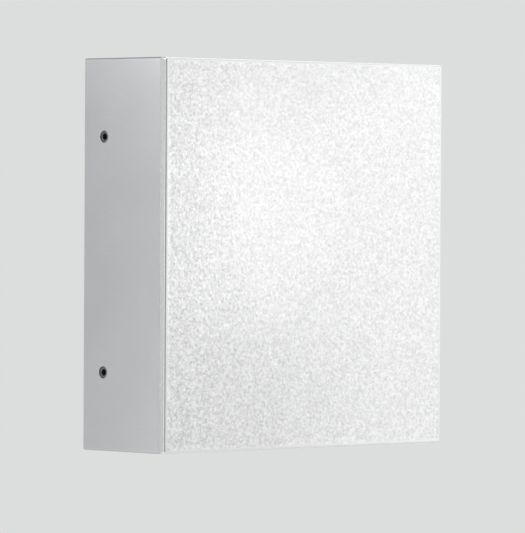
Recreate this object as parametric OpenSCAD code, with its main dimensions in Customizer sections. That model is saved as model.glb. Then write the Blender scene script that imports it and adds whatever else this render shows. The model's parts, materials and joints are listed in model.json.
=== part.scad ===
// Square wall luminaire: a cast base on the wall, and an aluminium housing with a white glass front
// that slides over it and is clamped by four grub screws. The glass covers the whole front.
// Millimetres. The wall is the plane y = 0, the front looks along -Y, and +Z is up.

/* [Body] */
// Width of the luminaire
body_w = 260; // [250:5:290]
// Height of the luminaire
body_h = 260; // [250:5:290]
// How far the front of the glass stands from the wall
body_d = 80; // [78:1:100]
// Radius of the four edges that run out from the wall
edge_r = 1.5; // [1.5:0.5:4]

/* [Housing] */
// Thickness of the housing's walls
wall_t = 3; // [2.5:0.5:4]
// Gap between the housing's rear edge and the wall
rear_gap = 1; // [0.5:0.5:3]
// Width of the ledge that the glass is bedded on
ledge_w = 8; // [6:1:10]
// Thickness of that ledge
ledge_t = 3; // [2:0.5:4]
// Thickness of the silicone that bonds the glass to the ledge
bond_t = 0.3; // [0.2:0.1:0.6]

/* [Glass] */
// Thickness of the front glass
glass_t = 5; // [4:0.5:8]
// Width of the bevel round the glass's front face
bevel = 1; // [0.4:0.1:1.2]

/* [Grub screws] */
// Diameter of the grub screws
grub_d = 8; // [6:1:8]
// Height of the grub screws above and below the middle
grub_z = 78; // [70:1:84]
// Distance of the grub screws from the wall
grub_y = 20; // [20:0.5:21]
// How deep the grub screws sit below the housing's face
grub_sunk = 0.5; // [0.3:0.1:1.5]

/* [Base] */
// Thickness of the base's floor
floor_t = 3; // [2.5:0.5:4]
// Height of the base's flange
flange_d = 30; // [29:1:32]
// Distance of the wall fixings from the middle, sideways and up
fixing_at = 105; // [102:1:106]
// Width of the fixing slots
slot_w = 5.5; // [4.5:0.5:6.5]
// Length of the fixing slots
slot_l = 10; // [8:1:12]
// Bore of the cable grommets
cable_d = 10; // [8:0.5:12]

/* [Light source] */
// Number of light-emitting diodes along each side of the board
led_count = 6; // [4:1:7]
// Distance between neighbouring diodes
led_pitch = 22; // [14:1:22]

/* [Hidden] */
$fn = 96;
eps = 0.01;

// Housing
glass_back = body_d - glass_t;
housing_front = glass_back - bond_t;
ledge_back = housing_front - ledge_t;
inner_r = 1.5;
bond_inset = 0.1;
bond_w = wall_t + ledge_w - 1;

// Grub screws and what they clamp
thread_play = 0.05;
boss_d = 16;
boss_l = 5;
grub_out = body_w / 2 - grub_sunk;
grub_tip = body_w / 2 - wall_t - boss_l - 0.5;
grub_socket = 4;
lug_gap = 0.1;
lug_face = grub_tip - lug_gap;
lug_t = 8;
lug_w = 20;
lug_d = 28;
notch_w = boss_d + 3;
notch_from = grub_y - boss_d / 2 - 1;

// Base
base_gap = 1.5;
base_w = body_w - 2 * (wall_t + base_gap);
base_h = body_h - 2 * (wall_t + base_gap);
base_r = 2.5;
flange_t = 3;
band_t = 6;
band_d = 10;
groove_from = 3.5;
groove_to = 7.5;
groove_depth = 2.5;
seal_play = 0.3;
post_at = 75;
post_d = 10;
post_top = 34;
core_m4 = 3.3;
core_m3 = 2.5;
pad_d = 20;
pad_h = 1.5;
rib_t = 2.5;
rib_d = 7;

// Cable grommets
grommet_x = 18;
grommet_z = -100;
grommet_hole = 22;
grommet_lip = 27;
grommet_l = 8;

// Terminal block
term_x = 101;
term_z = -48;
term_w = 28;
term_h = 24;
term_y = floor_t + 16;
pole_pitch = 8.4;
lever_w = 6.6;
lever_l = 13;
lever_t = 2.4;
knuckle_d = 5;
pin_d = 2;
pin_y = term_y + 1.2;
pin_z = term_z + 1;
trough_d = knuckle_d + 0.8;
pin_play = 0.05;

// Earth terminal
earth_x = 106;
earth_z = 12;
earth_seat = floor_t + 3;
lug_plate_t = 0.8;

// Driver
drv_w = 104;
drv_h = 50;
drv_z = 20;
drv_back = 7;
drv_d = 22;
drv_wall = 1.8;
drv_ear = 9;
drv_screw_x = drv_w / 2 + drv_ear / 2;
drv_board_back = drv_back + drv_wall + 3;
drv_board_front = drv_board_back + 1.6;

// Light source
tray_w = 164;
tray_t = 1.5;
tray_lip = 8;
tray_front = post_top + tray_t;
bush_z = -75;
bush_hole = 7;
pad_t = 0.5;
pad_w = 130;
board_w = 136;
board_t = 1.6;
board_back = tray_front + pad_t;
board_front = board_back + board_t;
board_screw_at = 64;
chip_w = 3;
chip_t = 0.8;
conn_w = 9;
conn_h = 6;
conn_t = 4;
conn_z = -62;
skirt_t = 1.5;
skirt_in = 80;
skirt_out = 97;
skirt_front = 60;

lead_d = 2;

// Routes of the wires, from the driver or the terminal block outwards
route_live = [
    [49, -20, 24], [58, -20, 24], [68, -19, 19], [80, -17, 6], [88, -15, -9], [92, -11.6, -23],
    [92.6, -10, -32], [92.6, -10, -40]
];
route_neutral = [
    [49, -16, 18], [58, -16, 18], [69, -13, 13], [84, -9.5, 2], [96, -9, -11], [100.6, -9.7, -23],
    [101, -10, -32], [101, -10, -40]
];
route_earth = [
    [109.4, -10, -40], [109.4, -10, -32], [110.8, -9.4, -20], [108.4, -8.4, -9], [106, -7.7, -2],
    [106, -7.7, 5]
];
route_plus = [
    [-49, -20, 24], [-58, -20, 24], [-66, -19, 18], [-66, -17, 0], [-56, -17, -30], [-30, -18, -58],
    [-6, -22, -73], [-1.5, -29, -75], [-1.5, -37, -75], [-1.5, -41.6, -73.6], [-2, -40.6, -69.5],
    [-2, -39.6, -65.2]
];
route_minus = [
    [-49, -16, 18], [-58, -16, 18], [-63, -15, 12], [-62, -13, -4], [-50, -13, -32], [-24, -15, -60],
    [-2, -20, -74], [1.5, -28, -75], [1.5, -37, -75], [1.5, -41.6, -73.6], [2, -40.6, -69.5],
    [2, -39.6, -65.2]
];

// Colours
SILVER = [0.74, 0.75, 0.77];
WHITE_GLASS = [0.93, 0.94, 0.94];
CAST = [0.62, 0.63, 0.65];
STEEL = [0.55, 0.55, 0.56];
DARK_STEEL = [0.25, 0.25, 0.26];
BLACK = [0.06, 0.06, 0.06];
WHITE = [0.93, 0.93, 0.92];
PALE_GREY = [0.8, 0.81, 0.81];

// ---- Shapes that repeat ----

// Extrudes a flat shape, drawn in x and z, from one distance off the wall to another
module out(from, to)
    translate([0, -from, 0]) rotate([90, 0, 0]) linear_extrude(height = to - from) children();

module rounded(w, h, r) {
    square([w - 2 * r, h], center = true);
    square([w, h - 2 * r], center = true);
    for (sx = [-1, 1], sz = [-1, 1]) translate([sx * (w / 2 - r), sz * (h / 2 - r)]) circle(r);
}

module ring(w, h, r, t, r_in) difference() {
    rounded(w, h, r);
    rounded(w - 2 * t, h - 2 * t, r_in);
}

module disc(x, z, d) translate([x, z]) circle(d = d);

module slot(x, z, w, l) translate([x, z]) {
    square([l - w, w], center = true);
    for (s = [-1, 1]) translate([s * (l - w) / 2, 0]) circle(d = w);
}

module corners(x, z) for (sx = [-1, 1], sz = [-1, 1]) translate([sx * x, sz * z]) children();

// A pan-head screw standing on the plane at `seat`, with its shank going back into what it holds
module pan_screw(seat, d, head_d, head_h, l) difference() {
    union() {
        out(seat, seat + head_h - 0.4) circle(d = head_d);
        out(seat + head_h - 0.4, seat + head_h) circle(d = head_d - 1);
        out(seat - l, seat) circle(d = d);
    }
    out(seat + head_h * 0.45, seat + head_h + 1)
        for (a = [0, 90]) rotate(a) square([head_d * 0.55, 0.9], center = true);
}

function unit(v) = v / norm(v);
function between(a, b, c, d, t) = 0.5 * (2 * b + (c - a) * t + (2 * a - 5 * b + 4 * c - d) * t * t
    + (3 * b - a - 3 * c + d) * t * t * t);
function smooth(p, n) = [
    for (i = [0 : len(p) - 2], j = [0 : n - 1])
        between(p[max(i - 1, 0)], p[i], p[i + 1], p[min(i + 2, len(p) - 1)], j / n),
    p[len(p) - 1]
];
function tangent(p, i) = unit(p[min(i + 1, len(p) - 1)] - p[max(i - 1, 0)]);
// The side direction is carried along the route, so that the tube doesn't twist
function sides(p, i, s) = let (t = tangent(p, i), q = unit(s - (s * t) * t))
    i == len(p) - 1 ? [q] : concat([q], sides(p, i + 1, q));

module lead(route, start_side) {
    n = 8;
    p = smooth(route, 4);
    s = sides(p, 0, start_side);
    points = [for (i = [0 : len(p) - 1], k = [0 : n - 1])
        let (t = tangent(p, i), b = cross(t, s[i]), a = 360 * k / n)
        p[i] + lead_d / 2 * (cos(a) * s[i] + sin(a) * b)];
    last = (len(p) - 1) * n;
    walls = [for (i = [0 : len(p) - 2], k = [0 : n - 1])
        let (a = i * n + k, b = i * n + (k + 1) % n) each [[a, a + n, b + n], [a, b + n, b]]];
    polyhedron(points, concat(walls, [[for (k = [0 : n - 1]) k]], [[for (k = [n - 1 : -1 : 0]) last + k]]));
}

// ---- Housing ----

module housing_frame() color(SILVER) difference() {
    union() {
        out(rear_gap, housing_front) ring(body_w, body_h, edge_r, wall_t, inner_r);
        out(ledge_back, housing_front)
            ring(body_w - 2, body_h - 2, edge_r - 1, wall_t + ledge_w - 1, inner_r);
        for (sx = [-1, 1], sz = [-1, 1]) grub_boss(sx, sz);
    }
    for (sx = [-1, 1], sz = [-1, 1])
        translate([sx * (body_w / 2 - (wall_t + boss_l) / 2), -grub_y, sz * grub_z])
            rotate([0, 90, 0]) cylinder(d = grub_d, h = wall_t + boss_l + 2, center = true);
}

module grub_boss(sx, sz)
    translate([sx * (body_w / 2 - wall_t - boss_l / 2 + 0.5), -grub_y, sz * grub_z])
        rotate([0, 90, 0]) cylinder(d = boss_d, h = boss_l + 1, center = true);

module front_glass() color(WHITE_GLASS) {
    out(glass_back, body_d - bevel) rounded(body_w, body_h, edge_r);
    hull() {
        out(body_d - bevel - eps, body_d - bevel) rounded(body_w, body_h, edge_r, $fn = 32);
        out(body_d - eps, body_d) rounded(body_w - 2 * bevel, body_h - 2 * bevel, edge_r - bevel, $fn = 32);
    }
}

module glass_bond() color(PALE_GREY)
    out(housing_front, glass_back)
        ring(body_w - 2 * bond_inset, body_h - 2 * bond_inset, edge_r - bond_inset, bond_w, inner_r);

module grub_screw(sx, sz) color(DARK_STEEL) {
    r = grub_d / 2 - thread_play;
    l = grub_out - grub_tip;
    translate([sx * grub_tip, -grub_y, sz * grub_z]) rotate([0, sx * 90, 0]) difference() {
        rotate_extrude() polygon([[0, 0], [r - 1.2, 0], [r, 1.2], [r, l - 0.5], [r - 0.5, l], [0, l]]);
        translate([0, 0, l - 4]) cylinder(r = grub_socket / 2 / cos(30), h = 5, $fn = 6);
        translate([0, 0, -eps]) cylinder(d1 = 3, d2 = 0.4, h = 1);
    }
}

// ---- Base ----

module base_plate() color(CAST) difference() {
    union() {
        out(0, floor_t) rounded(base_w, base_h, base_r);
        out(0, flange_d) ring(base_w, base_h, base_r, flange_t, inner_r);
        out(0, band_d) ring(base_w, base_h, base_r, band_t, inner_r);
        for (sx = [-1, 1], sz = [-1, 1]) clamp_lug(sx, sz);
        out(floor_t - 1, post_top) corners(post_at, post_at) circle(d = post_d);
        out(floor_t - 1, floor_t + pad_h) corners(fixing_at, fixing_at) circle(d = pad_d);
        out(floor_t - 1, drv_back) for (s = [-1, 1]) disc(s * drv_screw_x, drv_z, 9);
        out(floor_t - 1, earth_seat) disc(earth_x, earth_z, 11);
        out(floor_t - 1, rib_d) base_ribs();
    }
    out(groove_from, groove_to) difference() {
        square([base_w + 2, base_h + 2], center = true);
        rounded(base_w - 2 * groove_depth, base_h - 2 * groove_depth, inner_r);
    }
    for (sx = [-1, 1], sz = [-1, 1]) flange_notch(sx, sz);
    out(-1, floor_t + pad_h + 1) corners(fixing_at, fixing_at) slot(0, 0, slot_w, slot_l);
    out(-1, floor_t + 1) for (s = [-1, 1]) disc(s * grommet_x, grommet_z, grommet_hole);
    out(post_top - 12, post_top + 1) corners(post_at, post_at) circle(d = core_m4);
    out(1.5, drv_back + 1) for (s = [-1, 1]) disc(s * drv_screw_x, drv_z, core_m3);
    out(1, floor_t + 1) for (s = [-1, 1]) disc(term_x, term_z + s * (term_h / 2 + 3), core_m3);
    out(1.2, floor_t + 4) disc(earth_x, earth_z, 4);
}

module clamp_lug(sx, sz)
    out(0, lug_d) translate([sx * (lug_face - lug_t / 2), sz * grub_z]) square([lug_t, lug_w], center = true);

module flange_notch(sx, sz)
    out(notch_from, flange_d + 1)
        translate([sx * (lug_face + 10), sz * grub_z]) square([20, notch_w], center = true);

// Low ribs that tie the posts to the flange
module base_ribs() {
    side = base_w / 2 - flange_t;
    for (s = [-1, 1], t = [-1, 1]) {
        translate([s * (side + post_at) / 2, t * post_at]) square([side - post_at + 1, rib_t], center = true);
        translate([s * post_at, t * (side + post_at) / 2]) square([rib_t, side - post_at + 1], center = true);
    }
    for (s = [-1, 1]) translate([0, s * post_at]) square([2 * post_at, rib_t], center = true);
    for (s = [-1, 1]) translate([s * post_at, 0]) square([rib_t, 2 * post_at], center = true);
}

module base_seal() color(BLACK) {
    w = body_w - 2 * (wall_t + seal_play);
    h = body_h - 2 * (wall_t + seal_play);
    core = base_w - 2 * groove_depth;
    out(groove_from, groove_to) ring(base_w + 0.6, base_h + 0.6, base_r, groove_depth + 0.3, inner_r);
    for (y = [groove_from + 0.4, groove_to - 1.4]) out(y, y + 1) difference() {
        rounded(w, h, base_r);
        rounded(core, core + base_h - base_w, inner_r);
    }
}

module cable_grommet(s) color(BLACK)
    translate([s * grommet_x, 0, grommet_z]) rotate([90, 0, 0]) rotate_extrude() polygon([
        [cable_d / 2, 0], [grommet_hole / 2, 0], [grommet_hole / 2, floor_t], [grommet_lip / 2, floor_t],
        [grommet_lip / 2, floor_t + 1.5], [cable_d / 2 + 3.5, floor_t + 2.2], [cable_d / 2 + 1.2, grommet_l],
        [cable_d / 2, grommet_l]
    ]);

// ---- Terminal block ----

function pole_x(i) = term_x + (i - 1) * pole_pitch;

module terminal_block() color(PALE_GREY) difference() {
    union() {
        out(floor_t, term_y) translate([term_x, term_z]) square([term_w, term_h], center = true);
        out(floor_t, floor_t + 3) translate([term_x, term_z]) square([8, term_h + 12], center = true);
        for (i = [0 : 3]) out(floor_t, pin_y + 2.6)
            translate([term_x + (i - 1.5) * pole_pitch, pin_z]) square([1.4, 7], center = true);
    }
    // The room that each lever turns in
    for (i = [0 : 2]) translate([pole_x(i), -pin_y, pin_z]) rotate([0, 90, 0])
        cylinder(d = trough_d, h = pole_pitch - 1.4, center = true);
    // Pin hole
    translate([term_x, -pin_y, pin_z]) rotate([0, 90, 0]) cylinder(d = pin_d, h = term_w + 2, center = true);
    // Wire openings below and above, and the cage that each contact sits in
    for (i = [0 : 2]) {
        translate([pole_x(i), -10, term_z - term_h / 2 - 1]) cylinder(d = 4.4, h = 5);
        translate([pole_x(i) - 2.5, -12.5, term_z - 8]) cube([5, 5, 16]);
        translate([pole_x(i), -10, term_z + term_h / 2 - 5]) cylinder(d = 2.4, h = 6);
    }
    // Seats for the fixing screws
    out(floor_t - 1, floor_t + 4) for (s = [-1, 1]) disc(term_x, term_z + s * (term_h / 2 + 3), 3.2);
}

module terminal_contacts() color([0.78, 0.62, 0.32])
    for (i = [0 : 2]) translate([pole_x(i), -10, term_z]) difference() {
        cube([4.6, 4.6, 15.6], center = true);
        cube([3.4, 3.4, 20], center = true);
    }

module terminal_screws() color(STEEL)
    for (s = [-1, 1]) translate([term_x, 0, term_z + s * (term_h / 2 + 3)])
        pan_screw(floor_t + 3, core_m3 - 0.1, 5.2, 2, 4.5);

module terminal_pin() color(STEEL)
    translate([term_x, -pin_y, pin_z]) rotate([0, 90, 0])
        cylinder(d = pin_d, h = 3 * pole_pitch + 1.4, center = true);

module terminal_lever(i) color(WHITE) translate([pole_x(i), -pin_y, pin_z]) difference() {
    union() {
        rotate([0, 90, 0]) cylinder(d = knuckle_d, h = lever_w, center = true);
        translate([-lever_w / 2, -knuckle_d / 2, -lever_l]) cube([lever_w, lever_t, lever_l]);
        translate([-lever_w / 2, -knuckle_d / 2 - 0.9, -lever_l]) cube([lever_w, 1, 2]);
    }
    rotate([0, 90, 0]) cylinder(d = pin_d + 2 * pin_play, h = lever_w + 2, center = true);
}

// ---- Earth terminal ----

module earth_stud() color(STEEL) out(1.2, earth_seat + 8) disc(earth_x, earth_z, 4);

// A ring terminal, with the earth wire crimped into its barrel
module earth_lug() color([0.8, 0.8, 0.78]) {
    barrel_d = lead_d + 1.4;
    difference() {
        union() {
            out(earth_seat, earth_seat + lug_plate_t) {
                disc(earth_x, earth_z, 9);
                translate([earth_x, earth_z - 6]) square([barrel_d, 7], center = true);
            }
            translate([earth_x, -earth_seat - barrel_d / 2, earth_z - 10.5]) cylinder(d = barrel_d, h = 5);
        }
        out(earth_seat - 1, earth_seat + 2) disc(earth_x, earth_z, 4);
        translate([earth_x, -earth_seat - barrel_d / 2, earth_z - 11.5]) cylinder(d = lead_d + 0.2, h = 7);
    }
}

module earth_nut() color(STEEL) {
    seat = earth_seat + lug_plate_t;
    difference() {
        union() {
            out(seat, seat + 0.8) disc(earth_x, earth_z, 9);
            out(seat + 0.8, seat + 4) translate([earth_x, earth_z]) circle(d = 8.1, $fn = 6);
        }
        out(seat - 1, seat + 5) disc(earth_x, earth_z, 4);
    }
}

// ---- Driver ----

module driver_case() color(WHITE) difference() {
    union() {
        out(drv_back, drv_back + drv_d - drv_wall) translate([0, drv_z]) rounded(drv_w, drv_h, 3);
        out(drv_back, drv_back + 2) translate([0, drv_z]) rounded(drv_w + 2 * drv_ear, 16, 3);
    }
    out(drv_back + drv_wall, drv_back + drv_d) translate([0, drv_z])
        rounded(drv_w - 2 * drv_wall, drv_h - 2 * drv_wall, 1.2);
    out(drv_back - 1, drv_back + 3) for (s = [-1, 1]) disc(s * drv_screw_x, drv_z, 3.4);
    // Wire holes, two at each end
    for (s = [-1, 1], at = [[20, 24], [16, 18]]) translate([s * drv_w / 2, -at[0], at[1]]) rotate([0, 90, 0])
        cylinder(d = lead_d + 0.6, h = 3 * drv_wall, center = true);
}

module driver_lid() color(PALE_GREY) difference() {
    union() {
        out(drv_back + drv_d - drv_wall, drv_back + drv_d) translate([0, drv_z]) rounded(drv_w, drv_h, 3);
        out(drv_back + drv_d - drv_wall - 2, drv_back + drv_d - drv_wall) translate([0, drv_z])
            ring(drv_w - 2 * drv_wall - 0.2, drv_h - 2 * drv_wall - 0.2, 1, 1.2, 0.5);
    }
    out(drv_back + drv_d - 0.3, drv_back + drv_d + 1) translate([0, drv_z])
        square([drv_w - 24, drv_h - 16], center = true);
}

module driver_board() color([0.12, 0.3, 0.16]) {
    out(drv_board_back, drv_board_front) translate([0, drv_z])
        square([drv_w - 8, drv_h - 8], center = true);
    out(drv_back + drv_wall, drv_board_back) translate([0, drv_z])
        corners(drv_w / 2 - 8, drv_h / 2 - 8) circle(d = 4);
}

module driver_transformer() color([0.75, 0.65, 0.25]) {
    seat = drv_board_front;
    out(seat, seat + 3) translate([-8, drv_z]) square([24, 22], center = true);
    out(seat + 3, seat + 9) translate([-8, drv_z]) circle(d = 15);
    out(seat + 9, seat + 11) translate([-8, drv_z]) square([24, 22], center = true);
}

module driver_capacitors() color([0.15, 0.15, 0.2]) {
    seat = drv_board_front;
    for (z = [drv_z - 11, drv_z + 5]) out(seat, seat + 9) disc(28, z, 11);
    out(seat, seat + 8) translate([-34, drv_z]) square([9, 18], center = true);
}

module driver_screws() color(STEEL)
    for (s = [-1, 1]) translate([s * drv_screw_x, 0, drv_z])
        pan_screw(drv_back + 2, core_m3 - 0.1, 5.6, 2.2, 6);

// ---- Light source ----

module led_tray() color(WHITE) difference() {
    union() {
        out(post_top, tray_front) rounded(tray_w, tray_w, 2.5);
        out(tray_front - tray_lip, tray_front) ring(tray_w, tray_w, 2.5, tray_t, 1);
    }
    out(post_top - 1, tray_front + 1) corners(post_at, post_at) circle(d = 4.5);
    out(post_top - 1, tray_front + 1) corners(board_screw_at, board_screw_at) circle(d = core_m3);
    out(post_top - 1, tray_front + 1) disc(0, bush_z, bush_hole);
}

module tray_bush() color(BLACK) translate([0, 0, bush_z]) rotate([90, 0, 0]) rotate_extrude() polygon([
    [2.8, post_top - 1.2], [bush_hole / 2 + 1.2, post_top - 1.2], [bush_hole / 2 + 1.2, post_top],
    [bush_hole / 2, post_top], [bush_hole / 2, tray_front], [2.8, tray_front]
]);

module thermal_pad() color([0.45, 0.5, 0.58])
    out(tray_front, board_back) difference() {
        square([pad_w, pad_w], center = true);
        corners(board_screw_at, board_screw_at) square([10, 10], center = true);
    }

module led_board() color(WHITE) out(board_back, board_front) difference() {
    rounded(board_w, board_w, 3);
    corners(board_screw_at, board_screw_at) circle(d = 3.2);
}

module led_chips() color([0.95, 0.85, 0.45])
    out(board_front, board_front + chip_t)
        for (i = [0 : led_count - 1], j = [0 : led_count - 1])
            translate([(i - (led_count - 1) / 2) * led_pitch, (j - (led_count - 1) / 2) * led_pitch])
                square([chip_w, chip_w], center = true);

module board_connector() color(PALE_GREY) difference() {
    out(board_front, board_front + conn_t) translate([0, conn_z]) square([conn_w, conn_h], center = true);
    for (s = [-1, 1]) translate([s * 2, -(board_front + conn_t / 2), conn_z - conn_h / 2 - 1])
        cylinder(d = 1.6, h = 4);
}

module board_screws() color(STEEL)
    for (sx = [-1, 1], sz = [-1, 1]) translate([sx * board_screw_at, 0, sz * board_screw_at])
        pan_screw(board_front, core_m3 - 0.1, 5.5, 1.8, 5);

module reflector() color(WHITE) difference() {
    union() {
        out(tray_front, tray_front + skirt_t)
            ring(2 * skirt_in, 2 * skirt_in, 1.5, skirt_in - board_w / 2 - 1, 1.5);
        difference() {
            skirt(skirt_t);
            skirt(0);
        }
    }
    out(tray_front - 1, tray_front + 3) corners(post_at, post_at) circle(d = 4.5);
    out(tray_front - 1, tray_front + 3) disc(0, bush_z, bush_hole);
}

// A square funnel, wider at the front by the flare
module skirt(t) hull() {
    slice = t > 0 ? 0.02 : 0.04;
    low = t > 0 ? tray_front : tray_front - 0.01;
    high = t > 0 ? skirt_front : skirt_front + 0.01;
    out(low, low + slice) rounded(2 * (skirt_in - 1.5 + t), 2 * (skirt_in - 1.5 + t), 2 + t, $fn = 32);
    out(high - slice, high) rounded(2 * (skirt_out + t), 2 * (skirt_out + t), 4 + t, $fn = 32);
}

module tray_screws() color(STEEL)
    for (sx = [-1, 1], sz = [-1, 1]) translate([sx * post_at, 0, sz * post_at])
        pan_screw(tray_front + skirt_t, core_m4 - 0.1, 7, 2.6, 12);

// ---- Wires ----

module lead_live() color([0.36, 0.2, 0.1]) lead(route_live, [0, 0, 1]);
module lead_neutral() color([0.1, 0.3, 0.65]) lead(route_neutral, [0, 0, 1]);
module lead_earth() color([0.25, 0.55, 0.15]) lead(route_earth, [1, 0, 0]);
module lead_plus() color([0.7, 0.08, 0.06]) lead(route_plus, [0, 0, 1]);
module lead_minus() color([0.07, 0.07, 0.07]) lead(route_minus, [0, 0, 1]);

housing_frame();
front_glass();
glass_bond();
grub_screw(-1, 1);  // grub_screw_upper_left
grub_screw(-1, -1);  // grub_screw_lower_left
grub_screw(1, 1);  // grub_screw_upper_right
grub_screw(1, -1);  // grub_screw_lower_right
base_plate();
base_seal();
cable_grommet(-1);  // cable_grommet_left
cable_grommet(1);  // cable_grommet_right
terminal_block();
terminal_contacts();
terminal_screws();
terminal_pin();
terminal_lever(0);  // terminal_lever_live
terminal_lever(1);  // terminal_lever_neutral
terminal_lever(2);  // terminal_lever_earth
earth_stud();
earth_lug();
earth_nut();
driver_case();
driver_lid();
driver_board();
driver_transformer();
driver_capacitors();
driver_screws();
led_tray();
tray_bush();
thermal_pad();
led_board();
led_chips();
board_connector();
board_screws();
reflector();
tray_screws();
lead_live();
lead_neutral();
lead_earth();
lead_plus();
lead_minus();
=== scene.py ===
"""A square outdoor wall light: the looks of its pieces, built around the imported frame.

Metres throughout. The wall is the plane y = 0, the glass faces -Y, and +Z is up.
"""
import json
import math

import bmesh
import bpy
import numpy as np
from mathutils import Matrix, Vector, noise

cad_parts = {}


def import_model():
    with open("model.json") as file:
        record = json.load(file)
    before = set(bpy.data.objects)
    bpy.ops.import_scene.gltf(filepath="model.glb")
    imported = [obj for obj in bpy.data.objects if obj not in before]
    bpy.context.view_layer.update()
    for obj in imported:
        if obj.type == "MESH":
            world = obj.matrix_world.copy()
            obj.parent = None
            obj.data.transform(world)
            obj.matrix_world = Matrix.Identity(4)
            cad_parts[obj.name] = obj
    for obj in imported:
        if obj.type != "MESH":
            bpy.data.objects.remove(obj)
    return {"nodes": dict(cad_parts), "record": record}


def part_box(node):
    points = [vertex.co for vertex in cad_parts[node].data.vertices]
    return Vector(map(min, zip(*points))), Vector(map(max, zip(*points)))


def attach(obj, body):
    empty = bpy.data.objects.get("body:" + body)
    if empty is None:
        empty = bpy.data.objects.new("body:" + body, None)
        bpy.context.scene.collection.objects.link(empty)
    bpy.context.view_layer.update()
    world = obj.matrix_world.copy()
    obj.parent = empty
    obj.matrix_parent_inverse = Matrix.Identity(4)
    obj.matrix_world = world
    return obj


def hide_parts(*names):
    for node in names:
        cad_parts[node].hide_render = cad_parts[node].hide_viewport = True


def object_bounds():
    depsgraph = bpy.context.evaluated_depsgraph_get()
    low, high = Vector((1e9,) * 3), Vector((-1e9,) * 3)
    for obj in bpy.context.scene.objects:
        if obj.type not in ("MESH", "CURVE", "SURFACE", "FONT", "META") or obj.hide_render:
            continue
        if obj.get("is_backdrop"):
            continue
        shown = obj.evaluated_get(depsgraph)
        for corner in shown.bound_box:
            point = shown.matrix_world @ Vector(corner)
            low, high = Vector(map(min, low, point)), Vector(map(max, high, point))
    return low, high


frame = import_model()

CAD_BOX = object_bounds()
MM = 0.001

# ---- What the frame says ----

GLASS_LOW, GLASS_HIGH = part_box("front_glass")
CENTRE = (Vector(CAD_BOX[0]) + Vector(CAD_BOX[1])) / 2
HEIGHT = CAD_BOX[1][2] - CAD_BOX[0][2]

SLOT_OF = {part["node"]: part["material_slot"] for part in frame["record"]["subparts"]}
BODY_OF = {
    node: body for body, members in frame["record"]["behaviour"]["bodies"].items() for node in members
}


# ---- Materials ----

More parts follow.
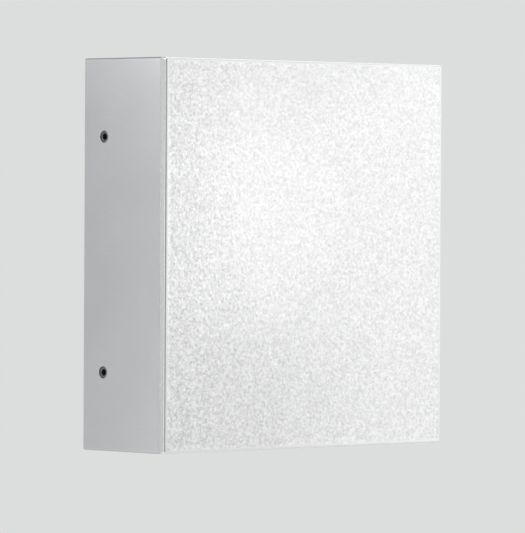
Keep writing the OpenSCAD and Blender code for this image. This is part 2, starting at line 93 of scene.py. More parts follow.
class Finish:
    """A material with one Principled shader, and short calls for the nodes that vary it."""

    def __init__(self, name, colour, roughness, **sockets):
        self.material = bpy.data.materials.new(name)
        self.material.use_nodes = True
        self.nodes = self.material.node_tree.nodes
        self.links = self.material.node_tree.links
        self.shader = self.nodes["Principled BSDF"]
        self.colour = (*colour, 1.0)
        self.shader.inputs["Base Color"].default_value = self.colour
        self.roughness = roughness
        self.shader.inputs["Roughness"].default_value = roughness
        for socket, value in sockets.items():
            self.shader.inputs[socket.replace("_", " ")].default_value = value
        self.bump_normal = None

    def node(self, kind, inputs=None, **settings):
        made = self.nodes.new(kind)
        for key, value in settings.items():
            setattr(made, key, value)
        for key, value in (inputs or {}).items():
            if isinstance(value, bpy.types.NodeSocket):
                self.links.new(value, made.inputs[key])
            else:
                made.inputs[key].default_value = value
        return made

    def place(self, stretch=(1, 1, 1)):
        """The point on the piece, in the row frame, with each axis scaled."""
        coordinates = self.node("ShaderNodeTexCoord").outputs["Object"]
        return self.node("ShaderNodeMapping", {"Vector": coordinates, "Scale": stretch}).outputs["Vector"]

    def grain(self, size, stretch=(1, 1, 1), detail=3.0, lumpiness=0.5, warp=0.0):
        """Noise from 0 to 1 whose features are about `size` metres across."""
        inputs = {
            "Vector": self.place(stretch), "Scale": 1 / size, "Detail": detail,
            "Roughness": lumpiness, "Distortion": warp,
        }
        return self.node("ShaderNodeTexNoise", inputs).outputs["Fac"]

    def spread(self, value, low, high, from_low=0.3, from_high=0.7):
        inputs = {
            "Value": value, "From Min": from_low, "From Max": from_high, "To Min": low, "To Max": high,
        }
        return self.node("ShaderNodeMapRange", inputs).outputs["Result"]

    def math(self, operation, first, second):
        return self.node("ShaderNodeMath", {0: first, 1: second}, operation=operation).outputs[0]

    def shade_painted_stronger_to_the_left(self, value, left, right):
        """Strengthens a value round its middle towards the object's left side; used to paint the glass's
        grain shading stronger there.
        """
        across = self.node("ShaderNodeSeparateXYZ", {"Vector": self.place()}).outputs["X"]
        gain = self.spread(across, left, right, -130 * MM, -40 * MM)
        return self.math("ADD", self.math("MULTIPLY", self.math("SUBTRACT", value, 0.5), gain), 0.5)

    def blend(self, factor, first, second, mode="MIX"):
        made = self.node("ShaderNodeMix", data_type="RGBA", blend_type=mode)
        for index, value in ((0, factor), (6, first), (7, second)):
            if isinstance(value, bpy.types.NodeSocket):
                self.links.new(value, made.inputs[index])
            else:
                made.inputs[index].default_value = value
        return made.outputs[2]

    def vary_colour(self, value, amount):
        """Darkens and lightens the colour by `amount` where the value is low and high."""
        shade = self.spread(value, 1 - amount, 1 + amount)
        grey = self.node("ShaderNodeCombineColor", {0: shade, 1: shade, 2: shade}).outputs[0]
        self.colour = self.blend(1.0, self.colour, grey, "MULTIPLY")
        self.links.new(self.colour, self.shader.inputs["Base Color"])

    def tint(self, value, colour):
        """Goes over to another colour where the value is 1."""
        self.colour = self.blend(value, self.colour, (*colour, 1.0))
        self.links.new(self.colour, self.shader.inputs["Base Color"])

    def vary_roughness(self, value, amount):
        low, high = max(0.02, self.roughness - amount), min(1.0, self.roughness + amount)
        self.links.new(self.spread(value, low, high), self.shader.inputs["Roughness"])

    def bump(self, value, depth):
        """Raises the surface by `depth` metres where the value is 1."""
        inputs = {"Height": value, "Distance": depth, "Strength": 1.0}
        if self.bump_normal is not None:
            inputs["Normal"] = self.bump_normal
        self.bump_normal = self.node("ShaderNodeBump", inputs).outputs["Normal"]
        self.links.new(self.bump_normal, self.shader.inputs["Normal"])

    def edges(self, radius):
        """1 along edges of about that radius, 0 on flats: where handling wears a surface."""
        rounded = self.node("ShaderNodeBevel", {"Radius": radius}, samples=4).outputs["Normal"]
        flat = self.node("ShaderNodeNewGeometry").outputs["Normal"]
        alike = self.node("ShaderNodeVectorMath", {0: rounded, 1: flat}, operation="DOT_PRODUCT")
        worn = self.spread(alike.outputs["Value"], 1.0, 0.0, 0.8, 0.99)
        return self.math("MULTIPLY", worn, self.spread(self.grain(4 * MM), 0.3, 1.0))


def brushed_aluminium():
    """Satin anodised sheet, brushed along the direction out from the wall."""
    f = Finish("brushed_aluminium", (0.535, 0.535, 0.552), 0.42, Metallic=0.9)
    scratch = (1, 0.02, 1)
    f.vary_colour(f.grain(0.12 * MM, scratch, 2.0), 0.035)
    f.vary_colour(f.grain(60 * MM, detail=2.0), 0.03)
    f.tint(f.math("MULTIPLY", f.edges(0.5 * MM), 0.35), (0.80, 0.80, 0.81))
    f.vary_roughness(f.grain(0.2 * MM, scratch, 2.0), 0.06)
    f.bump(f.grain(0.12 * MM, scratch, 3.0), 0.004 * MM)
    return f.material


def structured_glass():
    """White glass with a finely crinkled surface; its colour carries the crinkle's shading and glints as
    painted shade and painted highlights, stronger towards the left.
    """
    f = Finish("structured_glass", (0.805, 0.80, 0.80), 0.22, IOR=1.5, Specular_IOR_Level=0.7)
    # Painted shade and glints of the crinkle: the colour is darkened and lightened with this grain, more
    # towards the left.
    crinkle_shade = f.grain(1.8 * MM, (0.8, 1, 0.95), detail=5.0, lumpiness=0.75)
    f.vary_colour(f.shade_painted_stronger_to_the_left(crinkle_shade, 1.4, 0.95), 0.30)
    f.vary_colour(f.grain(9 * MM, detail=3.0), 0.008)
    f.vary_colour(f.grain(40 * MM, detail=3.0, warp=0.5), 0.018)
    f.vary_roughness(f.grain(2.5 * MM), 0.06)
    f.bump(f.grain(1.4 * MM, detail=2.0, warp=0.5), 0.07 * MM)
    return f.material


def glass_rim_highlight():
    """The plain margin of the pane, where the crinkle was ground away before the bevel; its colour is painted
    lighter than the face's as a highlight.
    """
    f = Finish("glass_rim_highlight", (0.83, 0.83, 0.83), 0.22, IOR=1.5)
    f.vary_colour(f.grain(3 * MM), 0.015)
    f.vary_roughness(f.grain(2.5 * MM), 0.05)
    f.bump(f.grain(0.8 * MM), 0.006 * MM)
    return f.material


def glass_edge():
    """The pane's ground and polished edge, a neutral grey."""
    f = Finish("glass_edge", (0.56, 0.56, 0.562), 0.25, IOR=1.5, Coat_Weight=0.3, Coat_Roughness=0.1)
    f.vary_colour(f.grain(8 * MM, (1, 3, 1)), 0.03)
    f.vary_roughness(f.grain(3 * MM), 0.05)
    f.bump(f.grain(0.5 * MM), 0.004 * MM)
    return f.material


def glass_arris():
    """The polished bevel between the pane's face and its edge."""
    f = Finish("glass_arris", (0.84, 0.85, 0.845), 0.12, Metallic=0.8)
    f.vary_colour(f.grain(5 * MM), 0.03)
    f.vary_roughness(f.grain(2 * MM), 0.04)
    return f.material


def turned_steel(name, colour):
    """Plain stainless steel of the clamp screws, dull from the weather; the colours it is given are darkened
    to paint the shade the screws sit in.
    """
    f = Finish(name, colour, 0.38, Metallic=1.0)
    f.vary_colour(f.grain(0.8 * MM), 0.10)
    f.tint(f.math("MULTIPLY", f.edges(0.15 * MM), 0.4), tuple(2.1 * c for c in colour))
    f.vary_roughness(f.grain(0.5 * MM), 0.08)
    f.bump(f.grain(0.15 * MM, (1, 0.2, 1)), 0.003 * MM)
    return f.material


def cast_aluminium():
    """Die-cast aluminium, bead blasted."""
    f = Finish("cast_aluminium", (0.46, 0.465, 0.47), 0.52, Metallic=0.9)
    f.vary_colour(f.grain(25 * MM, detail=4.0), 0.07)
    f.vary_colour(f.grain(0.7 * MM), 0.05)
    f.tint(f.math("MULTIPLY", f.edges(0.5 * MM), 0.4), (0.72, 0.72, 0.73))
    f.vary_roughness(f.grain(3 * MM), 0.10)
    f.bump(f.grain(0.45 * MM, detail=4.0), 0.03 * MM)
    return f.material


def zinc_steel():
    """Zinc-plated steel of the small fasteners."""
    f = Finish("zinc_steel", (0.56, 0.57, 0.58), 0.30, Metallic=1.0)
    f.vary_colour(f.grain(1.5 * MM), 0.08)
    f.tint(f.spread(f.grain(4 * MM), 0.0, 0.25), (0.62, 0.60, 0.50))
    f.vary_roughness(f.grain(0.8 * MM), 0.08)
    f.bump(f.grain(0.2 * MM), 0.003 * MM)
    return f.material


def painted(name, colour, roughness, peel):
    """Powder coat or moulded plastic with a fine orange peel."""
    f = Finish(name, colour, roughness)
    f.vary_colour(f.grain(30 * MM), 0.02)
    f.vary_colour(f.grain(0.6 * MM), 0.015)
    f.tint(f.math("MULTIPLY", f.edges(0.3 * MM), 0.25), tuple(min(1.0, c * 1.25 + 0.03) for c in colour))
    f.vary_roughness(f.grain(2 * MM), 0.07)
    f.bump(f.grain(peel * MM, detail=2.0), 0.01 * MM)
    return f.material


def rubber(name, colour, roughness=0.72):
    f = Finish(name, colour, roughness)
    f.vary_colour(f.grain(6 * MM), 0.15)
    f.tint(f.spread(f.grain(14 * MM, detail=5.0), 0.0, 0.12, 0.45, 0.75), tuple(c + 0.12 for c in colour))
    f.vary_roughness(f.grain(1.5 * MM), 0.10)
    f.bump(f.grain(0.25 * MM), 0.01 * MM)
    return f.material


def brass():
    f = Finish("contact_brass", (0.72, 0.50, 0.20), 0.28, Metallic=1.0)
    f.vary_colour(f.grain(2 * MM), 0.10)
    f.vary_roughness(f.grain(1 * MM), 0.08)
    f.bump(f.grain(0.2 * MM, (1, 1, 0.1)), 0.003 * MM)
    return f.material


def circuit_board(name, colour, trace, line):
    """Solder mask over copper: the tracks show as faint straight ridges."""
    f = Finish(name, colour, 0.32, Coat_Weight=0.3, Coat_Roughness=0.15)
    across = f.node("ShaderNodeTexBrick", {"Vector": f.place(), "Scale": 1 / line, "Mortar Size": 0.03})
    f.tint(f.math("MULTIPLY", across.outputs["Fac"], 0.5), trace)
    f.vary_colour(f.grain(10 * MM), 0.04)
    f.vary_roughness(f.grain(2 * MM), 0.06)
    f.bump(f.grain(0.4 * MM), 0.004 * MM)
    return f.material


def phosphor():
    f = Finish("phosphor", (0.86, 0.62, 0.12), 0.35, Subsurface_Weight=0.2, Subsurface_Scale=0.001)
    f.vary_colour(f.grain(0.25 * MM, detail=4.0), 0.10)
    f.vary_roughness(f.grain(0.5 * MM), 0.08)
    f.bump(f.grain(0.2 * MM), 0.01 * MM)
    return f.material


def cable(name, colour, stripe=None):
    """Extruded insulation; a second colour runs along the wire as a stripe."""
    f = Finish(name, colour, 0.36)
    if stripe:
        f.tint(f.node("ShaderNodeAttribute", attribute_name="stripe").outputs["Fac"], stripe)
    f.vary_colour(f.grain(3 * MM), 0.06)
    f.vary_roughness(f.grain(1 * MM), 0.08)
    f.bump(f.grain(0.3 * MM), 0.004 * MM)
    return f.material


def tape():
    f = Finish("transformer_tape", (0.66, 0.50, 0.10), 0.25, Coat_Weight=0.3)
    f.vary_colour(f.grain(3 * MM, (1, 1, 4)), 0.08)
    f.vary_roughness(f.grain(2 * MM), 0.06)
    f.bump(f.grain(1.2 * MM, (1, 4, 1)), 0.02 * MM)
    return f.material


FINISHES = {
    "housing_aluminium": brushed_aluminium(),
    "white_glass": structured_glass(),
    "silicone": rubber("silicone", (0.80, 0.81, 0.81), 0.5),
    # The clamp screws' steel colour is darkened below bare steel's: painted shade of their sunk ends.
    "grub_steel": turned_steel("turned_steel", (0.20, 0.20, 0.205)),
    "cast_aluminium": cast_aluminium(),
    "seal_rubber": rubber("seal_rubber", (0.022, 0.022, 0.023)),
    "terminal_plastic": painted("terminal_plastic", (0.52, 0.53, 0.53), 0.40, 0.3),
    "contact_brass": brass(),
    "zinc_steel": zinc_steel(),
    "lever_plastic": painted("lever_plastic", (0.80, 0.26, 0.04), 0.30, 0.3),
    "tinned_copper": painted("tinned_copper", (0.62, 0.62, 0.60), 0.35, 0.3),
    "driver_plastic": painted("driver_plastic", (0.80, 0.80, 0.78), 0.40, 0.4),
    "circuit_board": circuit_board("circuit_board", (0.03, 0.14, 0.06), (0.06, 0.26, 0.11), 3 * MM),
    "transformer_tape": tape(),
    "capacitor_sleeve": painted("capacitor_sleeve", (0.03, 0.03, 0.06), 0.30, 0.3),
    "white_steel": painted("white_steel", (0.84, 0.84, 0.83), 0.45, 0.5),
    "thermal_foam": rubber("thermal_foam", (0.22, 0.28, 0.38), 0.8),
    "white_board": circuit_board("white_board", (0.83, 0.83, 0.81), (0.74, 0.74, 0.70), 11 * MM),
    "phosphor": phosphor(),
    "wire_brown": cable("wire_brown", (0.16, 0.07, 0.03)),
    "wire_blue": cable("wire_blue", (0.03, 0.12, 0.42)),
    "wire_green_yellow": cable("wire_green_yellow", (0.72, 0.62, 0.04), (0.06, 0.30, 0.06)),
    "wire_red": cable("wire_red", (0.50, 0.02, 0.02)),
    "wire_black": cable("wire_black", (0.02, 0.02, 0.02)),
}
GLASS_EDGE = glass_edge()
GLASS_ARRIS = glass_arris()
GLASS_RIM_HIGHLIGHT = glass_rim_highlight()
# Near-black and dark steel for the clamp screws' sockets: painted shade of the recess.
SOCKET_RIM_SHADE_PAINT = turned_steel("socket_rim_painted_shade", (0.115, 0.115, 0.118))
SOCKET_SHADE_PAINT = rubber("socket_painted_shade", (0.020, 0.019, 0.018), 0.8)


# ---- Pieces ----

def settle(name, mesh, nodes, materials, sharp_angle=35):
    """Makes the mesh a piece that stands for those CAD nodes and rides on their body."""
    for material in materials:
        mesh.materials.append(material)
    mesh.polygons.foreach_set("use_smooth", [True] * len(mesh.polygons))
    mesh.set_sharp_from_angle(angle=math.radians(sharp_angle))
    piece = bpy.data.objects.new(name, mesh)
    bpy.context.scene.collection.objects.link(piece)
    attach(piece, BODY_OF[nodes[0]])
    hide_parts(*nodes)
    return piece


def mesh_of(bm, name):
    """Turns mesh code's result into a mesh and frees it."""
    mesh = bpy.data.meshes.new(name)
    bm.to_mesh(mesh)
    bm.free()
    return mesh


def apply_modifiers(piece):
    """Leaves the piece as the plain mesh that its modifiers give."""
    graph = bpy.context.evaluated_depsgraph_get()
    mesh = bpy.data.meshes.new_from_object(piece.evaluated_get(graph))
    piece.modifiers.clear()
    piece.data = mesh


def softened(node, edge):
    """The CAD shape of a node with every sharp edge rounded by `edge` metres."""
    bm = bmesh.new()
    bm.from_mesh(frame["nodes"][node].data)
    bmesh.ops.remove_doubles(bm, verts=bm.verts, dist=1e-6)
    bmesh.ops.dissolve_limit(bm, angle_limit=math.radians(0.5), verts=bm.verts, edges=bm.edges)
    mesh = mesh_of(bm, node + "_piece")
    mesh.materials.clear()
    piece = settle(node + "_piece", mesh, [node], [FINISHES[SLOT_OF[node]]])
    bevel = piece.modifiers.new("edges", "BEVEL")
    bevel.width = edge
    bevel.segments = 2
    bevel.limit_method = "ANGLE"
    bevel.angle_limit = math.radians(38)
    bevel.use_clamp_overlap = True
    shading = piece.modifiers.new("shading", "WEIGHTED_NORMAL")
    shading.keep_sharp = True
    apply_modifiers(piece)


def crinkle(x, z):
    """How deep the glass's surface lies at a point of its face, from 0 to 1."""
    wander = 0.5 * MM
    x += wander * noise.noise(Vector((x, z, 0.3)) / (4 * MM))
    z += wander * noise.noise(Vector((x, z, 0.7)) / (4 * MM))
    distances = noise.voronoi(Vector((x, z, 0)) / (2.3 * MM))[0]
    ridge = min(1.0, 1.6 * (distances[1] - distances[0]))
    return 0.7 * (1 - ridge) + 0.3 * (0.5 + 0.5 * noise.noise(Vector((x, z, 2)) / (1.3 * MM)))


def grid_lines(half, corner, cells):
    """Where the lines of a square face's grid run, closer together where its corners turn."""
    turn = [half - corner * (1 - k / 4) for k in range(1, 5)]
    middle = [(half - corner) * (2 * k / cells - 1) for k in range(cells + 1)]
    return [-t for t in reversed(turn)] + middle + turn


# How many cells the pane's face has across, so that its crinkle shows in the mesh
FACE_CELLS = 292

# Material slots of the pane, after its crinkled face, and of a clamp screw, after its steel
# The pane's rim slot is painted lighter than its face, as a highlight along the margin.
ARRIS, EDGE, RIM = 1, 2, 3
# The clamp screw's second and third slots are painted shade: near-black in the socket, dark steel round its
# mouth.
DEEP_SHADE, SHADED_RIM = 1, 2


def glass_pane():
    """The front glass: a crinkled face inside a smooth rim, a polished bevel and a plain edge."""
    half = (GLASS_HIGH.x - GLASS_LOW.x) / 2
    front, back = GLASS_LOW.y, GLASS_HIGH.y
    bevel, corner = 1.0 * MM, 1.5 * MM
    rim, depth = 1.3 * MM, 0.16 * MM
    face_half, face_corner = half - bevel, corner - bevel
    inner = face_half - face_corner
    lines = grid_lines(face_half, face_corner, FACE_CELLS)
    bm = bmesh.new()
    rows = []
    for line_z in lines:
        row = []
        for line_x in lines:
            x, z = line_x, line_z
            u, v = max(0, abs(x) - inner) / face_corner, max(0, abs(z) - inner) / face_corner
            if u and v:
                x = math.copysign(inner + face_corner * u * math.sqrt(1 - v * v / 2), x)
                z = math.copysign(inner + face_corner * v * math.sqrt(1 - u * u / 2), z)
            inset = (face_half - max(abs(x), abs(z))) / rim
            sunk = depth * crinkle(x, z) * min(1, max(0, inset - 0.8)) ** 2
            row.append(bm.verts.new((x, front + sunk, z)))
        rows.append(row)
    for low, high in zip(rows, rows[1:]):
        for i in range(len(lines) - 1):
            face = bm.faces.new((low[i], low[i + 1], high[i + 1], high[i]))
            at = face.calc_center_median()
            if face_half - max(abs(at.x), abs(at.z)) < rim:
                face.material_index = RIM
    border = (
        rows[0][:-1] + [row[-1] for row in rows[:-1]] + rows[-1][:0:-1] + [row[0] for row in rows[:0:-1]]
    )
    # The bevel's two lips are slightly rounded, as grinding leaves them
    lip = 0.14 * MM
    profile = [
        (lip, lip * 0.35, ARRIS), (bevel - lip * 0.35, bevel - lip, ARRIS), (bevel, bevel + lip * 0.6, ARRIS),
        (bevel, back - front - 0.06 * MM, EDGE), (bevel - 0.06 * MM, back - front, EDGE),
    ]
    ring = border
    for outwards, inwards, material in profile:
        outer = []
        for vertex in border:
            x, z = vertex.co.x, vertex.co.z
            cx = math.copysign(min(abs(x), inner), x)
            cz = math.copysign(min(abs(z), inner), z)
            away = Vector((x - cx, 0, z - cz))
            if abs(x) < inner or abs(z) < inner:
                away = Vector((x if abs(x) > abs(z) else 0, 0, z if abs(z) > abs(x) else 0))
            away.normalize()
            outer.append(bm.verts.new((x + away.x * outwards, front + inwards, z + away.z * outwards)))
        for k in range(len(ring)):
            n = (k + 1) % len(ring)
            face = bm.faces.new((ring[k], outer[k], outer[n], ring[n]))
            at = face.calc_center_median()
            round_corner = min(abs(at.x), abs(at.z)) > inner
            face.material_index = ARRIS if round_corner and inwards > bevel else material
        ring = outer
    closing = bm.faces.new(ring)
    bmesh.ops.triangulate(bm, faces=[closing])
    bmesh.ops.recalc_face_normals(bm, faces=bm.faces)
    materials = [FINISHES["white_glass"], GLASS_ARRIS, GLASS_EDGE, GLASS_RIM_HIGHLIGHT]
    settle("glass_pane", mesh_of(bm, "glass_pane"), ["front_glass"], materials, 60)


def spun(rings, segments):
    """A closed mesh round the Y axis from rings of (distance along, radius at an angle)."""
    bm = bmesh.new()
    loops = []
    for along, radius in rings:
        loop = []
        for k in range(segments):
            angle = 2 * math.pi * k / segments
            r = radius(angle, along) if callable(radius) else radius
            loop.append(bm.verts.new((r * math.cos(angle), along, r * math.sin(angle))))
        loops.append(loop)
    for a, b in zip(loops, loops[1:]):
        for k in range(segments):
            n = (k + 1) % segments
            bm.faces.new((a[k], a[n], b[n], b[k]))
    for loop in (loops[0], loops[-1]):
        middle = bm.verts.new(sum((v.co for v in loop), Vector()) / segments)
        for k in range(segments):
            bm.faces.new((loop[k], loop[(k + 1) % segments], middle))
    bmesh.ops.recalc_face_normals(bm, faces=bm.faces)
    return bm


def hexagon(across):
    """A hexagon's radius at an angle, with one corner at the top."""
    return lambda angle, along: across / 2 / math.cos((angle + math.pi / 6) % (math.pi / 3) - math.pi / 6)


def grub_screw(node, side):
    """A threaded clamp screw with a hexagon socket in its outer end and a cup at its tip."""
    low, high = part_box(node)
    middle = (low + high) / 2
    length = high.x - low.x
    radius = (high.z - low.z) / 2
    pitch, thread = 1.25 * MM, 0.55 * MM
    socket, socket_depth = 4.0 * MM, 3.6 * MM

    def threaded(angle, along):
        turn = (along / pitch - angle / (2 * math.pi)) % 1
        return radius - thread * max(0.0, min(1.0, 2.6 * abs(turn - 0.5) - 0.15))

    start, end, step = 1.2 * MM, length - 0.55 * MM, 0.1 * MM
    rings = [
        (0.9 * MM, 0.2 * MM), (0.15 * MM, 1.6 * MM), (0.0, 1.9 * MM), (0.0, 2.5 * MM),
        (0.35 * MM, 3.1 * MM),
    ]
    rings += [(start + k * step, threaded) for k in range(int((end - start) / step) + 1)]
    rings += [
        (length - 0.42 * MM, radius - 0.10 * MM), (length - 0.12 * MM, radius - 0.42 * MM),
        (length, radius - 0.62 * MM), (length, 2.95 * MM), (length - 0.12 * MM, 2.82 * MM),
        (length - 0.2 * MM, hexagon(socket)), (length - socket_depth, hexagon(socket * 0.99)),
        (length - 4.4 * MM, 0.15 * MM),
    ]
    bm = spun(rings, 60)
    # Faces in and round the socket take the painted shade materials.
    for face in bm.faces:
        at = face.calc_center_median()
        from_axis = math.hypot(at.x, at.z)
        if at.y > length - 4.5 * MM and from_axis < 2.75 * MM:
            face.material_index = DEEP_SHADE if from_axis < 2.35 * MM else SHADED_RIM
    turn = Matrix.Rotation(math.radians(-90 * side), 4, "Z")
    base = Vector((low.x if side > 0 else high.x, middle.y, middle.z))
    bm.transform(Matrix.Translation(base) @ turn)
    materials = [FINISHES["grub_steel"], SOCKET_SHADE_PAINT, SOCKET_RIM_SHADE_PAINT]
    settle(node + "_piece", mesh_of(bm, node + "_piece"), [node], materials)


def cross_recess(size):
    return lambda angle, along: size * (0.30 + 0.70 * abs(math.cos(2 * angle)) ** 2.2)


def pan_screws(node, centres, seat, shank, head, height, length):
    """Pan-head screws standing on the plane y = -seat, with cross recesses and threaded shanks."""
    whole = bmesh.new()
    pitch = 0.7 * MM

    def threaded(angle, along):
        turn = (along / pitch - angle / (2 * math.pi)) % 1
        return shank / 2 - 0.22 * MM * abs(2 * turn - 1)

    for count, (x, z) in enumerate(centres):
        rings = [(-length, 0.3 * MM), (-length + 0.5 * MM, shank / 2 - 0.25 * MM)]
        steps = int((length - 1.2 * MM) / (0.14 * MM))
        rings += [(-length + 0.6 * MM + k * 0.14 * MM, threaded) for k in range(steps)]
        rings += [(-0.02 * MM, shank / 2 - 0.05 * MM), (0.0, head / 2 - 0.2 * MM), (0.15 * MM, head / 2)]
        for k in range(7):
            angle = math.radians(15 + 75 * k / 7)
            crown = head / 2 * (0.42 + 0.58 * math.cos(angle) ** 0.8)
            rings.append((height * (0.35 + 0.65 * math.sin(angle)), crown))
        rings += [
            (height, head * 0.34), (height - 0.1 * MM, cross_recess(head * 0.30)),
            (height - 0.9 * MM, cross_recess(head * 0.22)), (height - 1.3 * MM, 0.2 * MM),
        ]
        screw = spun(rings, 40)
        place = Matrix.Translation((x, -seat, z)) @ Matrix.Rotation(math.radians(23 + 37 * count), 4, "Y")
        screw.transform(place @ Matrix.Rotation(math.pi, 4, "Z"))
        mesh = mesh_of(screw, "screw")
        whole.from_mesh(mesh)
        bpy.data.meshes.remove(mesh)
    settle(node + "_piece", mesh_of(whole, node + "_piece"), [node], [FINISHES[SLOT_OF[node]]], 40)


def smooth_route(points, steps):
    """A curve through the given points, as a close row of points."""
    points = [Vector(p) * MM for p in points]
    row = []
    for i in range(len(points) - 1):
        a, b = points[max(i - 1, 0)], points[i]
        c, d = points[i + 1], points[min(i + 2, len(points) - 1)]
        for k in range(steps):
            t = k / steps
            row.append(0.5 * (2 * b + (c - a) * t + (2 * a - 5 * b + 4 * c - d) * t * t
                              + (3 * b - a - 3 * c + d) * t * t * t))
    return row + [points[-1]]


def wire(node, route):
    """Insulated wire along its route, closed at both ends."""
    radius, sides = WIRE_RADIUS, 16
    row = smooth_route(route, 14)
    bm = bmesh.new()
    stripe = bm.verts.layers.float.new("stripe")
    side = Vector((0, 0, 1))
    loops = []
    for i, point in enumerate(row):
        along = (row[min(i + 1, len(row) - 1)] - row[max(i - 1, 0)]).normalized()
        side = (side - along * side.dot(along)).normalized()
        other = along.cross(side)
        loop = []
        for k in range(sides):
            angle = 2 * math.pi * k / sides
            vertex = bm.verts.new(point + radius * (math.cos(angle) * side + math.sin(angle) * other))
            vertex[stripe] = 1.0 if k % 8 < 4 else 0.0
            loop.append(vertex)
        loops.append(loop)
    for a, b in zip(loops, loops[1:]):
        for k in range(sides):
            n = (k + 1) % sides
            bm.faces.new((a[k], a[n], b[n], b[k]))
    for loop, at in ((loops[0], 0), (loops[-1], -1)):
        middle = bm.verts.new(row[at])
        for k in range(sides):
            bm.faces.new((loop[k], loop[(k + 1) % sides], middle))
    bmesh.ops.recalc_face_normals(bm, faces=bm.faces)
    settle(node + "_piece", mesh_of(bm, node + "_piece"), [node], [FINISHES[SLOT_OF[node]]], 60)


WIRE_RADIUS = 0.985 * MM

# Where each wire runs, in millimetres
ROUTES = {
    "lead_live": [
        (49, -20, 24), (58, -20, 24), (68, -19, 19), (80, -17, 6), (88, -15, -9), (92, -11.6, -23),
        (92.6, -10, -32), (92.6, -10, -40),
    ],
    "lead_neutral": [
        (49, -16, 18), (58, -16, 18), (69, -13, 13), (84, -9.5, 2), (96, -9, -11), (100.6, -9.7, -23),
        (101, -10, -32), (101, -10, -40),
    ],
    "lead_earth": [
        (109.4, -10, -40), (109.4, -10, -32), (110.8, -9.4, -20), (108.4, -8.4, -9), (106, -7.7, -2),
        (106, -7.7, 5),
    ],
    "lead_plus": [
        (-49, -20, 24), (-58, -20, 24), (-66, -19, 18), (-66, -17, 0), (-56, -17, -30), (-30, -18, -58),
        (-6, -22, -73), (-1.5, -29, -75), (-1.5, -37, -75), (-1.5, -41.6, -73.6), (-2, -40.6, -69.5),
        (-2, -39.6, -65.2),
    ],
    "lead_minus": [
        (-49, -16, 18), (-58, -16, 18), (-63, -15, 12), (-62, -13, -4), (-50, -13, -32), (-24, -15, -60),
        (-2, -20, -74), (1.5, -28, -75), (1.5, -37, -75), (1.5, -41.6, -73.6), (2, -40.6, -69.5),
        (2, -39.6, -65.2),
    ],
}

# How much each CAD node's sharp edges are rounded, in millimetres
EDGES = {
    "housing_frame": 0.12, "glass_bond": 0.08, "base_plate": 0.5, "base_seal": 0.25,
    "cable_grommet_left": 0.3, "cable_grommet_right": 0.3, "terminal_block": 0.3,
    "terminal_contacts": 0.2, "terminal_pin": 0.15, "terminal_lever_live": 0.35,
    "terminal_lever_neutral": 0.35, "terminal_lever_earth": 0.35, "earth_stud": 0.3, "earth_lug": 0.12,
    "earth_nut": 0.2, "driver_case": 0.5, "driver_lid": 0.25, "driver_board": 0.2,
    "driver_transformer": 0.4, "driver_capacitors": 0.6, "led_tray": 0.3, "tray_bush": 0.2,
    "thermal_pad": 0.1, "led_board": 0.15, "board_connector": 0.25, "reflector": 0.3, "led_chips": 0.1,
}

glass_pane()
for node, edge in EDGES.items():
    softened(node, edge * MM)
for node in ("grub_screw_upper_left", "grub_screw_lower_left"):
    grub_screw(node, -1)
for node in ("grub_screw_upper_right", "grub_screw_lower_right"):
    grub_screw(node, 1)
for node, route in ROUTES.items():
    wire(node, route)


def solids_of(node):
    """The box of each separate solid of a node."""
    bm = bmesh.new()
    bm.from_mesh(frame["nodes"][node].data)
    bmesh.ops.remove_doubles(bm, verts=bm.verts, dist=1e-6)
    boxes, left = [], set(bm.verts)
    while left:
        start = left.pop()
        group, edge_of = {start}, [start]
        while edge_of:
            vertex = edge_of.pop()
            for e in vertex.link_edges:
                other = e.other_vert(vertex)
                if other in left:
                    left.discard(other)
                    group.add(other)
                    edge_of.append(other)
        co = np.array([v.co[:] for v in group])
        boxes.append((Vector(co.min(0)), Vector(co.max(0))))
    bm.free()
    return sorted(boxes, key=lambda b: (round(b[0].z, 4), round(b[0].x, 4)))


# Each kind of pan-head screw: shank diameter, head height and shank length, in millimetres
SCREWS = {
    "terminal_screws": (2.4, 2.0, 4.5), "driver_screws": (2.4, 2.2, 6.0), "board_screws": (2.4, 1.8, 5.0),
    "tray_screws": (3.2, 2.6, 12.0),
}
for node, (shank, height, length) in SCREWS.items():
    boxes = solids_of(node)
    head = boxes[0][1].x - boxes[0][0].x
    seat = -boxes[0][0].y - height * MM
    centres = [((low.x + high.x) / 2, (low.z + high.z) / 2) for low, high in boxes]
    pan_screws(node, centres, seat, shank * MM, head * 0.995, height * MM, length * MM)


# ---- Stage ----

PALE = (0.7157, 0.7305, 0.7230)


def away_from(azimuth, elevation):
    """A direction; azimuth 0 is straight in front of the glass, and it grows towards +X."""
    a, e = math.radians(azimuth), math.radians(elevation)
    return Vector((math.sin(a) * math.cos(e), -math.cos(a) * math.cos(e), math.sin(e)))


# Where the pale room is darker: azimuth, elevation, the angles in degrees within which it is fully dark
# and beyond which it isn't dark at all, and how much darker
DARKER = [(-46, 6, 14, 30, 0.60), (165, 58, 16, 34, 0.70)]


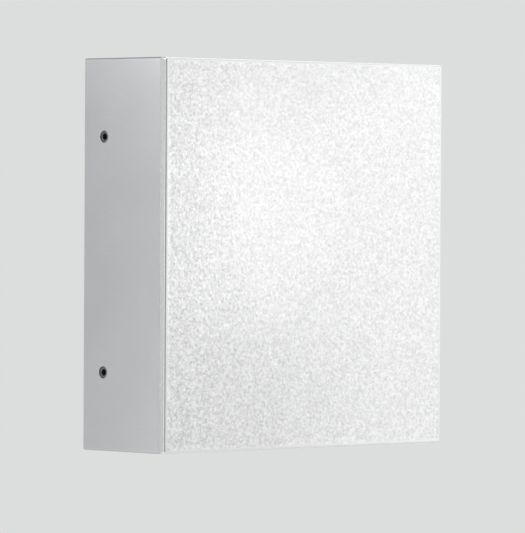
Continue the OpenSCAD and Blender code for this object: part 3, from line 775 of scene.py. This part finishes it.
def world():
    """A pale room, darker behind the camera and above and behind the object."""
    made = bpy.data.worlds.new("pale_room")
    made.use_nodes = True
    nodes, links = made.node_tree.nodes, made.node_tree.links
    background = nodes["Background"]
    background.inputs["Color"].default_value = (*PALE, 1.0)
    direction = nodes.new("ShaderNodeTexCoord").outputs["Generated"]
    strength = None
    for azimuth, elevation, inner, outer, depth in DARKER:
        towards = nodes.new("ShaderNodeVectorMath")
        towards.operation = "DOT_PRODUCT"
        links.new(direction, towards.inputs[0])
        towards.inputs[1].default_value = away_from(azimuth, elevation)
        shade = nodes.new("ShaderNodeMapRange")
        shade.interpolation_type = "SMOOTHSTEP"
        links.new(towards.outputs["Value"], shade.inputs["Value"])
        shade.inputs["From Min"].default_value = math.cos(math.radians(outer))
        shade.inputs["From Max"].default_value = math.cos(math.radians(inner))
        shade.inputs["To Min"].default_value = 1.0
        shade.inputs["To Max"].default_value = 1.0 - depth
        if strength is None:
            strength = shade.outputs["Result"]
        else:
            both = nodes.new("ShaderNodeMath")
            both.operation = "MULTIPLY"
            links.new(strength, both.inputs[0])
            links.new(shade.outputs["Result"], both.inputs[1])
            strength = both.outputs[0]
    links.new(strength, background.inputs["Strength"])
    bpy.context.scene.world = made


def floor():
    """A plain pale floor below the light."""
    bm = bmesh.new()
    bmesh.ops.create_circle(bm, cap_ends=True, radius=2.2, segments=96)
    mesh = mesh_of(bm, "floor")
    made = bpy.data.objects.new("floor", mesh)
    made.location = (0, 0, -0.62)
    bpy.context.scene.collection.objects.link(made)
    finish = Finish("floor_paint", (0.94, 0.95, 0.945), 0.9)
    finish.vary_colour(finish.grain(0.4), 0.01)
    mesh.materials.append(finish.material)
    made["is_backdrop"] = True


def softbox(name, azimuth, elevation, distance, size, watts, target=None):
    """An area light that looks at the target and stands outside every picture."""
    target = target or CENTRE
    away = away_from(azimuth, elevation)
    data = bpy.data.lights.new(name, "AREA")
    data.shape = "RECTANGLE"
    data.size, data.size_y = size
    data.energy = watts
    made = bpy.data.objects.new(name, data)
    made.location = target + away * distance
    made.rotation_euler = away.to_track_quat("Z", "Y").to_euler()
    made.visible_camera = False
    bpy.context.scene.collection.objects.link(made)


def camera():
    """The view from the left of the glass, from far away and a little above its middle."""
    yaw, pitch, roll = (math.radians(a) for a in (44.12, -0.85, 0.30))
    distance = 13.4 * HEIGHT
    aim_left, aim_down = 0.0079 * HEIGHT, 0.0327 * HEIGHT
    ahead = Vector((math.sin(yaw) * math.cos(pitch), math.cos(yaw) * math.cos(pitch), math.sin(pitch)))
    level_right = Vector((math.cos(yaw), -math.sin(yaw), 0))
    level_up = level_right.cross(ahead)
    right = level_right * math.cos(roll) + level_up * math.sin(roll)
    up = level_up * math.cos(roll) - level_right * math.sin(roll)
    data = bpy.data.cameras.new("camera")
    data.lens = 347.9
    data.sensor_width = 36.0
    data.clip_start, data.clip_end = 0.05, 60.0
    made = bpy.data.objects.new("camera", data)
    place = CENTRE - ahead * distance - right * aim_left - up * aim_down
    made.matrix_world = Matrix((
        (right.x, up.x, -ahead.x, place.x),
        (right.y, up.y, -ahead.y, place.y),
        (right.z, up.z, -ahead.z, place.z),
        (0, 0, 0, 1),
    ))
    bpy.context.scene.collection.objects.link(made)
    bpy.context.scene.camera = made


world()
floor()
camera()
softbox("overhead", 0, 80, 2.5, (1.6, 1.6), 16)
softbox("front_spot", 44, -1, 1.3, (0.2, 0.2), 0.22, Vector((-0.045, -0.08, 0.035)))
softbox("front_near", 44, -1, 0.5, (0.08, 0.14), 0.13, Vector((-0.055, -0.08, 0.022)))
softbox("front_left", 44, -1, 0.6, (0.1, 0.1), 0.05, Vector((-0.09, -0.08, 0.12)))
softbox("front_top", 44, 0, 1.2, (0.5, 0.1), 0.22, Vector((0.02, -0.08, 0.12)))
softbox("front_top_near", 44, 0, 0.6, (0.3, 0.06), 0.052, Vector((0.05, -0.08, 0.13)))
softbox("front_right", 45, -1, 1.0, (0.05, 0.5), 0.68, Vector((0.125, -0.08, 0.0)))
softbox("side_front", -120, 0, 0.2, (0.03, 0.3), 0.064, Vector((-0.13, -0.10, 0.0)))
softbox("side_corner", -124, 10, 0.25, (0.05, 0.05), 0.09, Vector((-0.13, -0.085, 0.14)))
softbox("side_top", -130, 10, 0.5, (0.3, 0.06), 0.055, Vector((-0.13, -0.04, 0.19)))
softbox("side_low", -116, -25, 0.7, (0.3, 0.3), 0.73, Vector((-0.13, -0.05, -0.11)))
softbox("right_high", 88, 46, 1.6, (0.9, 0.9), 1.2, Vector((0, -0.08, 0.13)))
bpy.context.scene.view_settings.view_transform = "Standard"

boxes = {"cad": CAD_BOX, "visual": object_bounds()}
